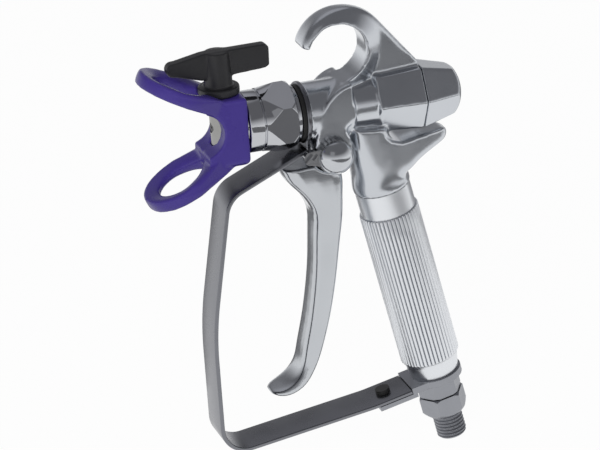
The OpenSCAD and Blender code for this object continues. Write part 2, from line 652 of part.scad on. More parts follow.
// Knurled lock ring on the pivot, with a thumb tab towards the front
module trigger_lock() color([0.55, 0.55, 0.55]) placed() difference() {
    union() {
        translate([0, -y_lock - lock_t / 2, 0]) slab(lock_t) {
            translate(pivot)
                polygon([for (k = [0:47]) (k % 2 == 0 ? 7.9 : 7.2) * [cos(k * 7.5), sin(k * 7.5)]]);
            link(pivot, 4.6, pivot + [-11, 1.2], 3);
        }
        for (k = [0, 1]) translate([pivot[0] - 12 + 2.8 * k, -y_lock - lock_t - 0.4, pivot[1] + 1.2])
            rotate([0, -45, 0]) cube([4.6 - 1.6 * k, 1.6, 0.9], center = true);
    }
    cross_rod(pivot, -y_lock - lock_t - 2, 0, pivot_r + fit);
}

module seat_housing() color([0.55, 0.55, 0.55]) placed() difference() {
    rod(x_housing_front, x_housing_back, housing_thread_r);
    rod(x_housing_front - 1, x_seat_back, seat_r + fit);
    rod(x_seat_back - 1, x_housing_back + 1, chamber_r);
}

module valve_seat() color([0.4, 0.4, 0.42]) placed() difference() {
    rod(x_seat_back - seat_len, x_seat_back, seat_r);
    rod(x_seat_back - seat_len - 1, x_seat_back + 1, seat_hole_r);
}

module seat_gasket() color([0.75, 0.5, 0.25]) placed() difference() {
    rod(x_housing_front, x_seat_back - seat_len, seat_r);
    rod(x_housing_front - 1, x_seat_back, seat_hole_r + 0.6);
}

module needle() color([0.7, 0.7, 0.7]) placed() {
    translate([x_ball, 0, 0]) sphere(r = ball_r);
    rod(x_ball, x_spring_end + 1.6, needle_r);
    rod(x_spring_collar, x_spring_collar + collar_len, spring_bore_r - 0.8);
}

// Block on the needle, with a ramp under it that the trigger's heel pushes
module needle_driver() color([0.6, 0.6, 0.6]) placed() difference() {
    union() {
        rod(x_driver, x_driver + driver_len, driver_r);
        intersection() {
            translate([x_driver, -lug_t / 2, -driver_drop]) cube([driver_len, lug_t, driver_drop]);
            slab(lug_t) polygon([for (q = [[-20, 0], [20, 0], [20, 30], [-20, 30]])
                ramp_point + q[0] * ramp_dir + q[1] * ramp_normal]);
        }
    }
    rod(x_driver - 1, x_driver + driver_len + 1, needle_r + 0.03);
}

module needle_spring() color([0.5, 0.5, 0.5]) placed() translate([x_spring_collar + collar_len, 0, 0])
    rotate([0, 90, 0]) spring(spring_bore_r - 1.8, 0.7, x_spring_end - x_spring_collar - collar_len, 9);

module packing_seal() color([0.85, 0.82, 0.7]) placed() difference() {
    rod(x_packing, x_packing_nut, packing_r);
    rod(x_packing - 1, x_packing_nut + 1, needle_r + fit);
}

module packing_nut() color([0.75, 0.6, 0.3]) placed() difference() {
    rod(x_packing_nut, x_packing_nut + packing_nut_len, packing_r);
    rod(x_packing_nut - 1, x_packing_nut + packing_nut_len + 1, needle_r + gap);
}

module handle_filter() color([0.85, 0.85, 0.4]) placed() difference() {
    post(s_grip - 6, s_plate - 24, 6.6 - fit);
    post(s_grip - 7, s_plate - 23, 5.4);
}

module filter_spring() color([0.5, 0.5, 0.5]) placed() on_handle() translate([0, 0, 9 - s_plate])
    spring(5.3, 0.6, 15, 5);

module filter_seal() color([0.1, 0.1, 0.1]) placed() on_handle() translate([0, 0, 9.9 - s_plate])
    rotate_extrude() translate([6.95, 0]) circle(r = 0.9, $fn = 24);

module tip_cylinder() color([0.7, 0.7, 0.7]) placed() difference() {
    translate([x_tip, 0, -11.6]) cylinder(r = tip_r, h = z_collar + 14.4);
    rod(x_tip - 10, x_tip + 10, 2.2 + fit);
}

module spray_orifice() color([0.3, 0.3, 0.3]) placed() difference() {
    rod(x_tip - tip_r + 0.4, x_tip + 1, 2.2);
    rod(x_tip - 10, x_tip + 10, 0.6);
}

module tip_seat() color([0.7, 0.55, 0.3]) placed() difference() {
    rod(x_tip + tip_r + gap, x_housing_front - gap, 5.5);
    rod(x_tip, x_housing_front + 1, 1.6);
}

gun_body();
end_cap();
grip_tube();
guard_bracket();
bracket_pin();
swivel_nut();
inlet_fitting();
trigger_guard();
front_gasket();
retaining_nut();
tip_guard();
tip_handle();
trigger();
pivot_screw();
dome_nut();
pivot_washer();
trigger_lock();
seat_housing();
valve_seat();
seat_gasket();
needle();
needle_driver();
needle_spring();
packing_seal();
packing_nut();
handle_filter();
filter_spring();
filter_seal();
tip_cylinder();
tip_seat();
spray_orifice();
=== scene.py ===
import math
import bpy
import bmesh
import numpy as np
from mathutils import Matrix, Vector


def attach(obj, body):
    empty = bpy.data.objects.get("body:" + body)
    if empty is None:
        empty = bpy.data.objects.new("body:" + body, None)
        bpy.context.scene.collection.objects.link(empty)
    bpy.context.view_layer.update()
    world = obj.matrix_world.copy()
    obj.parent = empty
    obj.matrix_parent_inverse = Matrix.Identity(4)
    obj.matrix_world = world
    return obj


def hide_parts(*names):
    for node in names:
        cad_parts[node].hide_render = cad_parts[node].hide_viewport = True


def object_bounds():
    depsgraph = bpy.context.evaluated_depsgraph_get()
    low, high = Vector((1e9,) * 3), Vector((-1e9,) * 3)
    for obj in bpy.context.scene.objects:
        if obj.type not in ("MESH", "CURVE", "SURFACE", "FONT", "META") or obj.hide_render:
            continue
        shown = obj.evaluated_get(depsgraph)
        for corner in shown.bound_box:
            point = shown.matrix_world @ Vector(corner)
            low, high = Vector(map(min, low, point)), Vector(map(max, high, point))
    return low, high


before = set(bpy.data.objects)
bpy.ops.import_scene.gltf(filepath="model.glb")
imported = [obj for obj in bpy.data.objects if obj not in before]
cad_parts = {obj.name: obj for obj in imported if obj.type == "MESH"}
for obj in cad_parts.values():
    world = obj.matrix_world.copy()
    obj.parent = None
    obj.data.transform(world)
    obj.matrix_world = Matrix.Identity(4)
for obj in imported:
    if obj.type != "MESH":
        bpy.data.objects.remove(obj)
cad_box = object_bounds()
scene = bpy.context.scene
scene.view_settings.view_transform = "Standard"

# Places are in millimetres about the point where the barrel axis crosses the handle axis.
RAKE = math.radians(12.3)
THREAD_S = 152.8
SHIFT = np.array([THREAD_S * math.sin(RAKE), 0.0, -THREAD_S * math.cos(RAKE)])
PIVOT = np.array([-16.2, -16.5])
GRIP_END_S = 132.27
THREAD_R = 6.58
DOME_RIM, DOME_BALL = 7.3, 8.2
TURN = 2 * math.pi

# The photo's camera: angles and roll in degrees, distance in metres, the rest in pixels of the photo.
CAMERA_ANGLES = (-17.6527, 20.1743, 3.2355)
CAMERA_DISTANCE = 1.78138
CAMERA_AIM = (-4.0, 0.0, 0.0)
PHOTO_WIDTH = 600.0
PHOTO_FOCAL = 4192.13
AIM_TO_MIDDLE = (49.35, 120.72)
SENSOR = 36.0


def part(points):
    """Points about the axis crossing, in millimetres, as metres in the part's frame."""
    return (np.asarray(points, float) - SHIFT) * 0.001


def on_handle(x, y, s):
    """Points at x and y across the handle and s down its leaning axis, about the axis crossing."""
    c, n = math.cos(RAKE), math.sin(RAKE)
    return np.stack(np.broadcast_arrays(x * c + s * n, y, x * n - s * c), -1)


# Camera, world, floor and lamps

def make_camera():
    """Perspective camera at the photo's angle: a back vector from azimuth and elevation, a small roll, and a turn
    that brings the middle of the picture onto the camera's middle ray."""
    a, e, r = (math.radians(v) for v in CAMERA_ANGLES)
    back = np.array([math.sin(a) * math.cos(e), -math.cos(a) * math.cos(e), math.sin(e)])
    right = np.array([math.cos(a), math.sin(a), 0.0])
    up = np.cross(back, right)
    right, up = math.cos(r) * right - math.sin(r) * up, math.sin(r) * right + math.cos(r) * up
    place = part(CAMERA_AIM) + CAMERA_DISTANCE * back
    back = back + right * AIM_TO_MIDDLE[0] / PHOTO_FOCAL + up * AIM_TO_MIDDLE[1] / PHOTO_FOCAL
    back /= np.linalg.norm(back)
    right = right - back * (right @ back)
    right /= np.linalg.norm(right)
    matrix = np.eye(4)
    matrix[:3, :4] = np.stack([right, np.cross(back, right), back, place], 1)
    cam = bpy.data.objects.new("photo_camera", bpy.data.cameras.new("photo_camera"))
    cam.matrix_world = Matrix(matrix.tolist())
    cam.data.sensor_width = SENSOR
    cam.data.lens = PHOTO_FOCAL * SENSOR / PHOTO_WIDTH
    cam.data.clip_end = 50.0
    scene.collection.objects.link(cam)
    scene.camera = cam


def add_node(tree, kind, **values):
    """One shader node with its settings and its socket values; a socket's name has _ for each space."""
    n = tree.nodes.new(kind)
    for key, value in values.items():
        if hasattr(n, key):
            setattr(n, key, value)
        else:
            n.inputs[key.replace("_", " ")].default_value = value
    return n


def seen_directly(tree):
    """One where a ray comes from the camera, a reflection or a see-through surface, else zero."""
    path = add_node(tree, "ShaderNodeLightPath")
    first = add_node(tree, "ShaderNodeMath", operation="MAXIMUM")
    both = add_node(tree, "ShaderNodeMath", operation="MAXIMUM")
    tree.links.new(path.outputs["Is Camera Ray"], first.inputs[0])
    tree.links.new(path.outputs["Is Glossy Ray"], first.inputs[1])
    tree.links.new(first.outputs[0], both.inputs[0])
    tree.links.new(path.outputs["Is Transmission Ray"], both.inputs[1])
    return both.outputs[0]


def make_world():
    """White round the horizon and below, a dim grey above it, and a paler patch high up behind the object."""
    world = bpy.data.worlds.new("studio")
    scene.world = world
    world.use_nodes = True
    t = world.node_tree
    t.nodes.clear()
    where = add_node(t, "ShaderNodeTexCoord")
    split = add_node(t, "ShaderNodeSeparateXYZ")
    ramp = add_node(t, "ShaderNodeValToRGB")
    steps = ramp.color_ramp.elements
    steps[0].color, steps[1].color, steps[1].position = (0.85, 0.85, 0.86, 1), (0.17, 0.17, 0.18, 1), 0.40
    near = add_node(t, "ShaderNodeVectorMath", operation="DOT_PRODUCT")
    near.inputs[1].default_value = (0.0, 0.5, 0.866)
    patch = add_node(t, "ShaderNodeMapRange")
    for key, value in (("From Min", 0.80), ("From Max", 0.94), ("To Min", 1.0), ("To Max", 2.6)):
        patch.inputs[key].default_value = value
    light = add_node(t, "ShaderNodeBackground")
    out = add_node(t, "ShaderNodeOutputWorld")
    t.links.new(where.outputs["Generated"], split.inputs[0])
    t.links.new(where.outputs["Generated"], near.inputs[0])
    t.links.new(split.outputs["Z"], ramp.inputs[0])
    t.links.new(near.outputs["Value"], patch.inputs["Value"])
    t.links.new(ramp.outputs[0], light.inputs["Color"])
    t.links.new(patch.outputs[0], light.inputs["Strength"])
    t.links.new(light.outputs[0], out.inputs[0])


def stage_sheet(name, corners, material):
    """One flat four-cornered sheet of the studio."""
    mesh = bpy.data.meshes.new(name)
    mesh.from_pydata([tuple(c) for c in corners], [], [(0, 1, 2, 3)])
    mesh.materials.append(material)
    o = bpy.data.objects.new(name, mesh)
    scene.collection.objects.link(o)
    return o


def make_floor():
    """White floor under the lowest point: it reads white where it is seen and still takes a soft shadow."""
    m = bpy.data.materials.new("floor_white")
    m.use_nodes = True
    t = m.node_tree
    t.nodes.clear()
    cloth = add_node(t, "ShaderNodeBsdfDiffuse", Color=(0.92, 0.92, 0.92, 1))
    glow = add_node(t, "ShaderNodeEmission", Color=(1, 1, 1, 1), Strength=1.0)
    mix = add_node(t, "ShaderNodeMixShader")
    share = add_node(t, "ShaderNodeMath", operation="MULTIPLY")
    share.inputs[1].default_value = 0.97
    out = add_node(t, "ShaderNodeOutputMaterial")
    t.links.new(seen_directly(t), share.inputs[0])
    t.links.new(share.outputs[0], mix.inputs[0])
    t.links.new(cloth.outputs[0], mix.inputs[1])
    t.links.new(glow.outputs[0], mix.inputs[2])
    t.links.new(mix.outputs[0], out.inputs[0])
    z = float(np.array(cad_box)[0][2]) - 0.0005
    stage_sheet("floor", [(-4, -4, z), (4, -4, z), (4, 4, z), (-4, 4, z)], m)


def make_flag(name, corners, shade):
    """Studio card of one grey that only reflections see, so that polished metal has something to mirror."""
    m = bpy.data.materials.new(name)
    m.use_nodes = True
    t = m.node_tree
    t.nodes.clear()
    glow = add_node(t, "ShaderNodeEmission", Color=(shade, shade, shade * 1.03, 1), Strength=1.0)
    out = add_node(t, "ShaderNodeOutputMaterial")
    t.links.new(glow.outputs[0], out.inputs[0])
    o = stage_sheet(name, corners, m)
    o.visible_camera = o.visible_diffuse = o.visible_shadow = o.visible_transmission = False


def lamp(name, place, aim, size, power):
    """Square soft box that looks from a place to a point; reflections see a plain grey card in its stead."""
    data = bpy.data.lights.new(name, "AREA")
    data.size = size
    data.energy = power
    o = bpy.data.objects.new(name, data)
    z = np.array(place, float) - np.array(aim, float)
    z /= np.linalg.norm(z)
    x = np.cross([0.0, 0.0, 1.0], z)
    x /= np.linalg.norm(x)
    m = np.eye(4)
    m[:3, :4] = np.stack([x, np.cross(z, x), z, np.array(place, float)], 1)
    o.matrix_world = Matrix(m.tolist())
    o.visible_glossy = False
    scene.collection.objects.link(o)
    half = size / 2
    card = [m @ (u * half, v * half, 0.0, 1.0) for u, v in ((-1, -1), (1, -1), (1, 1), (-1, 1))]
    make_flag(name + "_card", [c[:3] for c in card], 0.35)


make_camera()
make_world()
make_floor()
CARD_Z = 0.004
CARDS = dict(
    front_cloth=(0.2, (-1.2, -1.9), (0.45, -1.9), (0.45, 0.046), (-1.2, -1.274)),
    side_cloth=(0.3, (0.11, 0.12), (1.5, 0.12), (1.5, 1.5), (0.11, 1.5)),
    back_strip=(0.2, (-0.11, 0.06), (-0.04, 0.06), (-0.15, 0.6), (-0.29, 0.6)))
for card, (shade, *corners) in CARDS.items():
    make_flag(card, [(x, y, CARD_Z) for x, y in corners], shade)
lamp("key_box", (-0.9, -1.5, 1.1), (-0.04, 0, 0.1), 0.9, 16)


# Finishes

def group(name, inputs, outputs):
    """Empty shader group with named inputs and outputs."""
    g = bpy.data.node_groups.new(name, "ShaderNodeTree")
    for key, kind, value in inputs:
        s = g.interface.new_socket(key, in_out="INPUT", socket_type=kind)
        s.default_value = value
    for key, kind in outputs:
        g.interface.new_socket(key, in_out="OUTPUT", socket_type=kind)
    return g, g.nodes.new("NodeGroupInput"), g.nodes.new("NodeGroupOutput")


def make_tarnish():
    """Soft cloudy change of tone and gloss: two noises of the object's own coordinates, blended."""
    g, i, o = group("tarnish", [("Clouds", "NodeSocketFloat", 60.0), ("Grain", "NodeSocketFloat", 900.0)],
                    [("Cloud", "NodeSocketFloat"), ("Grit", "NodeSocketFloat")])
    c = add_node(g, "ShaderNodeTexCoord")
    wide = add_node(g, "ShaderNodeTexNoise", Detail=4.0, Roughness=0.55)
    fine = add_node(g, "ShaderNodeTexNoise", Detail=3.0, Roughness=0.6)
    g.links.new(c.outputs["Object"], wide.inputs["Vector"])
    g.links.new(c.outputs["Object"], fine.inputs["Vector"])
    g.links.new(i.outputs["Clouds"], wide.inputs["Scale"])
    g.links.new(i.outputs["Grain"], fine.inputs["Scale"])
    g.links.new(wide.outputs["Fac"], o.inputs["Cloud"])
    g.links.new(fine.outputs["Fac"], o.inputs["Grit"])
    return g


def make_brushing():
    """Fine lines along one direction: noise stretched by a mapping scale."""
    g, i, o = group("brushing", [("Stretch", "NodeSocketVector", (1, 1, 1))], [("Lines", "NodeSocketFloat")])
    c = add_node(g, "ShaderNodeTexCoord")
    m = add_node(g, "ShaderNodeMapping")
    n = add_node(g, "ShaderNodeTexNoise", Scale=1000.0, Detail=2.0, Roughness=0.5)
    g.links.new(c.outputs["Object"], m.inputs["Vector"])
    g.links.new(i.outputs["Stretch"], m.inputs["Scale"])
    g.links.new(m.outputs["Vector"], n.inputs["Vector"])
    g.links.new(n.outputs["Fac"], o.inputs["Lines"])
    return g


TARNISH = make_tarnish()
BRUSHING = make_brushing()


def finish(name, dark, light, metallic, rough, clouds=60.0, grain=900.0, bump=0.0, edge=0.0,
           brush=None, specular=0.5, painted_valley_shade=None):
    """Principled finish: tone between two colours and roughness between two values by the tarnish group,
    an optional brushed bump, edges rounded in shading by a radius in millimetres, and an optional painted shade:
    a darker colour mixed in where the mesh's own shade attribute is one."""
    m = bpy.data.materials.new(name)
    m.use_nodes = True
    t = m.node_tree
    b = t.nodes["Principled BSDF"]
    b.inputs["Metallic"].default_value = metallic
    b.inputs["Specular IOR Level"].default_value = specular
    f = add_node(t, "ShaderNodeGroup", node_tree=TARNISH)
    f.inputs["Clouds"].default_value = clouds
    f.inputs["Grain"].default_value = grain
    tone = add_node(t, "ShaderNodeMix", data_type="RGBA")
    tone.inputs[6].default_value = (*dark, 1)
    tone.inputs[7].default_value = (*light, 1)
    t.links.new(f.outputs["Cloud"], tone.inputs[0])
    colour = tone.outputs[2]
    # Painted shade: the base colour darkens towards the given colour by the mesh's shade attribute, which marks
    # where shade falls, here the grip's flute valleys.
    if painted_valley_shade:
        painted_shade_mask = add_node(t, "ShaderNodeAttribute", attribute_name="painted_valley_shade")
        shade = add_node(t, "ShaderNodeMix", data_type="RGBA")
        shade.inputs[7].default_value = (*painted_valley_shade, 1)
        t.links.new(painted_shade_mask.outputs["Fac"], shade.inputs[0])
        t.links.new(colour, shade.inputs[6])
        colour = shade.outputs[2]
    t.links.new(colour, b.inputs["Base Color"])
    span = add_node(t, "ShaderNodeMapRange")
    span.inputs["From Min"].default_value = 0.3
    span.inputs["From Max"].default_value = 0.7
    span.inputs["To Min"].default_value, span.inputs["To Max"].default_value = rough
    t.links.new(f.outputs["Cloud"], span.inputs["Value"])
    t.links.new(span.outputs[0], b.inputs["Roughness"])
    normal = None
    if edge:
        r = add_node(t, "ShaderNodeBevel", samples=6)
        r.inputs["Radius"].default_value = edge * 0.001
        normal = r.outputs[0]
    if bump:
        k = add_node(t, "ShaderNodeBump", Strength=bump, Distance=0.0001)
        height = f.outputs["Grit"]
        if brush:
            lines = add_node(t, "ShaderNodeGroup", node_tree=BRUSHING)
            lines.inputs["Stretch"].default_value = brush
            height = lines.outputs["Lines"]
        t.links.new(height, k.inputs["Height"])
        if normal:
            t.links.new(normal, k.inputs["Normal"])
        normal = k.outputs[0]
    if normal:
        t.links.new(normal, b.inputs["Normal"])
    return m


CAST = finish("polished_casting", (0.53, 0.55, 0.585), (0.64, 0.665, 0.70), 1.0, (0.17, 0.25), 45, 420, 0.10)
# The grip's finish paints shade into its flute valleys: its colour darkens towards this grey there.
SATIN = finish("satin_grip", (0.74, 0.76, 0.79), (0.81, 0.83, 0.86), 1.0, (0.27, 0.34), 80, 900,
               painted_valley_shade=(0.38, 0.395, 0.42))
TRIGGER_METAL = finish("polished_trigger", (0.48, 0.50, 0.525), (0.60, 0.62, 0.65), 1.0, (0.15, 0.22), 40, 420, 0.08)
ZINC = finish("zinc_plate", (0.27, 0.28, 0.305), (0.40, 0.41, 0.44), 1.0, (0.36, 0.48), 120, 900, 0.15, edge=0.3)
STEEL = finish("strap_steel", (0.17, 0.175, 0.19), (0.255, 0.26, 0.285), 1.0, (0.22, 0.32), 50, 900, 0.06,
               brush=(1, 0.05, 0.05))
CHROME = finish("nut_chrome", (0.49, 0.50, 0.525), (0.56, 0.57, 0.60), 1.0, (0.05, 0.10), 60, 900, 0.0)
BRIGHT = finish("bright_screw", (0.49, 0.505, 0.53), (0.61, 0.63, 0.66), 1.0, (0.10, 0.18), 90, 900, 0.0, edge=0.3)
LOCK = finish("knurled_lock", (0.34, 0.345, 0.36), (0.46, 0.465, 0.48), 1.0, (0.16, 0.24), 120, 900, 0.0, edge=0.15)
DARK = finish("blackened_pin", (0.03, 0.03, 0.03), (0.07, 0.07, 0.07), 0.6, (0.35, 0.5), 200, 900, 0.2, edge=0.4)
PURPLE = finish("guard_plastic", (0.062, 0.039, 0.27), (0.074, 0.049, 0.31), 0.0, (0.24, 0.34), 70, 600, 0.03,
                specular=0.3)
BLACK = finish("tip_plastic", (0.014, 0.014, 0.016), (0.024, 0.024, 0.026), 0.0, (0.38, 0.5), 120, 1400, 0.25)
RUBBER = finish("gasket_rubber", (0.010, 0.010, 0.010), (0.018, 0.018, 0.018), 0.0, (0.5, 0.65), 200, 900, 0.2)
BARREL = finish("tip_steel", (0.28, 0.28, 0.27), (0.38, 0.38, 0.37), 1.0, (0.10, 0.16), 120, 900, 0.0, edge=0.2)
CARBIDE = finish("dark_carbide", (0.10, 0.10, 0.105), (0.14, 0.14, 0.145), 1.0, (0.3, 0.4), 200, 900, 0.0)
INNER = finish("turned_steel", (0.5, 0.5, 0.51), (0.62, 0.62, 0.63), 1.0, (0.2, 0.32), 120, 900, 0.0, edge=0.2)
BRASS = finish("turned_brass", (0.55, 0.40, 0.16), (0.66, 0.50, 0.22), 1.0, (0.2, 0.3), 120, 900, 0.0, edge=0.2)
SEAL = finish("seal_plastic", (0.66, 0.62, 0.48), (0.74, 0.70, 0.56), 0.0, (0.4, 0.5), 120, 900, 0.1)
NODE_FINISH = dict(
    gun_body=CAST, end_cap=CAST, grip_tube=SATIN, guard_bracket=ZINC, bracket_pin=DARK, swivel_nut=ZINC,
    inlet_fitting=ZINC, trigger_guard=STEEL, front_gasket=RUBBER, retaining_nut=CHROME, tip_guard=PURPLE,
    tip_handle=BLACK, trigger=TRIGGER_METAL, pivot_screw=BRIGHT, dome_nut=BRIGHT, pivot_washer=BRIGHT,
    trigger_lock=LOCK, seat_housing=INNER, valve_seat=INNER, seat_gasket=BRASS, needle=INNER, needle_driver=INNER,
    needle_spring=INNER, packing_seal=SEAL, packing_nut=BRASS, handle_filter=SEAL, filter_spring=INNER,
    filter_seal=RUBBER, tip_cylinder=BARREL, tip_seat=BRASS, spray_orifice=CARBIDE)
for name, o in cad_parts.items():
    o.data.materials.clear()
    o.data.materials.append(NODE_FINISH[name])


# Pieces

def put_piece(name, verts, faces, material, body, slot, nodes=(), sharp=None, painted_valley_shade=None):
    """Mesh object at the origin from points about the axis crossing, smooth except at edges over an angle."""
    mesh = bpy.data.meshes.new(name)
    mesh.from_pydata(part(verts).tolist(), [], faces)
    # Optional per-point painted shade mask, stored as a mesh attribute that the finish reads to darken the colour.
    if painted_valley_shade is not None:
        mesh.attributes.new("painted_valley_shade", "FLOAT", "POINT").data.foreach_set("value", painted_valley_shade.ravel())
    mesh.polygons.foreach_set("use_smooth", np.ones(len(mesh.polygons), bool))
    bm = bmesh.new()
    bm.from_mesh(mesh)
    bmesh.ops.recalc_face_normals(bm, faces=bm.faces)
    bm.to_mesh(mesh)
    bm.free()
    if sharp:
        mesh.set_sharp_from_angle(angle=math.radians(sharp))
    mesh.materials.append(material)
    o = bpy.data.objects.new(name, mesh)
    scene.collection.objects.link(o)
    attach(o, body)
    if nodes:
        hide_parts(*nodes)


def skin(rows, start=0, looped=False):
    """Points and faces of a grid whose rows are closed rings: quads between rows, and a fan over each end,
    or the last row joined to the first."""
    n, k = rows.shape[:2]
    ids = np.arange(n * k).reshape(n, k) + start
    a = ids if looped else ids[:-1]
    b = np.roll(ids, -1, 0) if looped else ids[1:]
    faces = np.stack([a, np.roll(a, -1, 1), np.roll(b, -1, 1), b], -1).reshape(-1, 4).tolist()
    points = rows.reshape(-1, 3)
    if not looped:
        points = np.concatenate([points, rows[0].mean(0)[None], rows[-1].mean(0)[None]])
        for ring, middle in ((ids[0], start + n * k), (ids[-1], start + n * k + 1)):
            faces += np.stack([ring, np.roll(ring, -1), np.full(k, middle)], -1).tolist()
    return points, faces


def cast_copy(node, name, voxel, rounds, material, body, share=None, shape=None):
    """Copy of a solid with its edges flowed together, as a casting's or a moulding's are: fine even cells, whose
    points may be shaped, and then move half way to the mean of their neighbours, again and again, by a share."""
    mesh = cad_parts[node].data.copy()
    bm = bmesh.new()
    bm.from_mesh(mesh)
    bmesh.ops.remove_doubles(bm, verts=bm.verts, dist=1e-6)
    bm.to_mesh(mesh)
    bm.free()
    o = bpy.data.objects.new(name + "_raw", mesh)
    scene.collection.objects.link(o)
    cells = o.modifiers.new("cells", "REMESH")
    cells.mode = "VOXEL"
    cells.voxel_size = voxel * 0.001
    done = bpy.data.meshes.new_from_object(o.evaluated_get(bpy.context.evaluated_depsgraph_get()))
    bpy.data.objects.remove(o)
    done.name = name
    n = len(done.vertices)
    at = np.empty(n * 3)
    done.vertices.foreach_get("co", at)
    at = at.reshape(n, 3)
    if shape:
        at = part(shape(at * 1000.0 + SHIFT))
    ends = np.empty(len(done.edges) * 2, np.int32)
    done.edges.foreach_get("vertices", ends)
    a, b = ends.reshape(-1, 2).T
    ends, others = np.concatenate([a, b]), np.concatenate([b, a])
    count = np.bincount(ends, minlength=n)
    flow = np.ones(n) if share is None else share(at * 1000.0 + SHIFT)
    for _ in range(rounds):
        mean = np.stack([np.bincount(ends, at[others, k], n) for k in range(3)], 1) / count[:, None]
        at = at + 0.5 * flow[:, None] * (mean - at)
    done.vertices.foreach_set("co", at.ravel())
    done.polygons.foreach_set("use_smooth", np.ones(len(done.polygons), bool))
    done.materials.clear()
    done.materials.append(material)
    new = bpy.data.objects.new(name, done)
    scene.collection.objects.link(new)
    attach(new, body)
    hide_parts(node)


def wing_share(p):
    """Full flow on the guard's two loops, little on its block: a ramp of the distance from the tip's axis."""
    reach = np.hypot(p[:, 0] + 61.1, np.maximum(np.abs(p[:, 2]) - 8.0, 0.0))
    return np.clip((reach - 9.0) / 8.0, 0.12, 1.0)


def loop_shape(p):
    """The guard's loops, each thinned towards its opening: heights off the loop's plane are scaled from 0.5 at the
    opening to 1 at the outer edge, by the place between two teardrop outlines (distance to a line whose radius
    grows along it)."""
    q = p.copy()
    tilt = math.radians(26.0)
    root, length = 9.5, 12.4
    root_r, growth, rim = 2.0, 8.3, 7.2
    c, n = math.cos(tilt), math.sin(tilt)
    for side, z in ((1.0, 10.0), (-1.0, -12.7)):
        x, h = p[:, 0] + 60.7, side * (p[:, 2] - z)
        u, off = -x * c + h * n, x * n + h * c
        t = np.clip((u - root) / length, 0.0, 1.0)
        reach = np.hypot(u - root - length * t, p[:, 1])
        f = np.clip((reach - root_r - growth * t) / rim, 0.0, 1.0)
        k = 1.0 - 0.5 * (1.0 - f) * np.clip((u - 8.0) / 6.0, 0.0, 1.0)
        k = np.where((np.abs(off) < 5.0) & (side * p[:, 2] > 0.0), k, 1.0)
        q[:, 0] += off * (k - 1.0) * n
        q[:, 2] += side * off * (k - 1.0) * c
    return q


def down_handle(p):
    """Distance down the handle's leaning axis, and the place across it from front to back."""
    c, n = math.cos(RAKE), math.sin(RAKE)
    return p[:, 0] * n - p[:, 2] * c, p[:, 0] * c + p[:, 2] * n


def neck_share(p):
    """A little flow over the body, more on the hook above it and in a belt round the neck, where the block turns
    into a round."""
    s, _ = down_handle(p)
    belt = 0.6 * np.clip((38.0 - s) / 4.0, 0.0, 1.0) * np.clip((s - 24.0) / 7.0, 0.0, 1.0)
    hook = 0.25 * np.clip((p[:, 2] - 18.0) / 6.0, 0.0, 1.0)
    return np.maximum(0.065, np.maximum(belt, hook))


def neck_shape(p):
    """The neck filled out to a cone that grows into the collar: the outer points' distance from the handle's axis is
    at least 10.8 at s = 27, rising by a cosine to 12.6 at s = 37."""
    top, collar, bore = 27.0, 37.0, 9.6
    s, x = down_handle(p)
    r = np.hypot(x, p[:, 1])
    rise = 0.5 - 0.5 * np.cos(math.pi * np.clip((s - top) / (collar - top), 0.0, 1.0))
    grown = np.maximum(1.0, (10.8 + 1.8 * rise) / np.maximum(r, 1.0))
    k = np.where((r > bore) & (s > top) & (s < collar), grown, 1.0)
    return on_handle(x * k, p[:, 1] * k, s)


def cap_shape(p):
    """Room for the travel of the spring and the needle inside the cap: the bore's end face moves 2.4 towards the
    back, the points before and behind it less and less, and the needle's hole is 1.28 times as wide. The cap's own
    end, a ball of radius 17, stays."""
    bore, ball, ball_x, wall = 8.2, 17.0, 28.5, 1.0
    r = np.hypot(p[:, 1], p[:, 2])
    back = ball_x - wall + np.sqrt(ball ** 2 - np.minimum(r, bore) ** 2)
    inside = (r < bore) & (p[:, 0] > 30.0) & (p[:, 0] < back)
    room = 2.4 * np.interp(p[:, 0], (36.5, 38.3, 44.5), (0.0, 1.0, 0.0))
    wide = np.interp(r, (2.2, 4.5), (1.28, 1.0))
    return np.where(inside[:, None], np.stack([p[:, 0] + room, p[:, 1] * wide, p[:, 2] * wide], 1), p)


def toe_share(p):
    """A quarter of the flow along the trigger, and all of it at the toe: a ramp of the height."""
    return np.clip((-106.0 - p[:, 2]) / 9.0, 0.25, 1.0)


cast_copy("gun_body", "cast_body", 0.5, 150, CAST, "frame", neck_share, neck_shape)
cast_copy("tip_guard", "moulded_guard", 0.45, 80, PURPLE, "guard", wing_share, loop_shape)
cast_copy("tip_handle", "moulded_handle", 0.3, 16, BLACK, "tip")
cast_copy("trigger", "cast_trigger", 0.4, 44, TRIGGER_METAL, "trigger", toe_share)
cast_copy("end_cap", "cast_cap", 0.4, 8, CAST, "frame", None, cap_shape)


# Strap: its centreline is straight runs joined by arcs, carried by a thin section with rounded edges

def strap_line():
    """Points and left-hand normals along the strap: corners (x, z) rounded by a radius each."""
    s = 134.1
    corner = np.array([(-25.9, -14.2), (-62.5, -30.5), (-72.6, -90.0), (-72.0, -148.0),
                       on_handle(-32.0, 0.0, s)[[0, 2]], on_handle(-14.5, 0.0, s)[[0, 2]]])
    bend = (12.0, 150.0, 11.0, 40.0)
    leg = np.diff(corner, axis=0)
    leg /= np.linalg.norm(leg, axis=1)[:, None]
    left = np.stack([-leg[:, 1], leg[:, 0]], 1)
    points, normals = [corner[:1]], [left[:1]]
    for k, r in enumerate(bend):
        turn = math.atan2(leg[k] @ np.array([-leg[k + 1][1], leg[k + 1][0]]) * -1.0, leg[k] @ leg[k + 1])
        run = r * math.tan(abs(turn) / 2.0)
        side = math.copysign(1.0, turn)
        a = np.linspace(0.0, abs(turn), 24)[:, None]
        start = corner[k + 1] - run * leg[k]
        points.append(start + r * np.sin(a) * leg[k] + side * r * (1.0 - np.cos(a)) * left[k])
        normals.append(np.cos(a) * left[k] - side * np.sin(a) * leg[k])
    points.append(corner[-1:])
    normals.append(left[-1:])
    return np.concatenate(points), np.concatenate(normals)


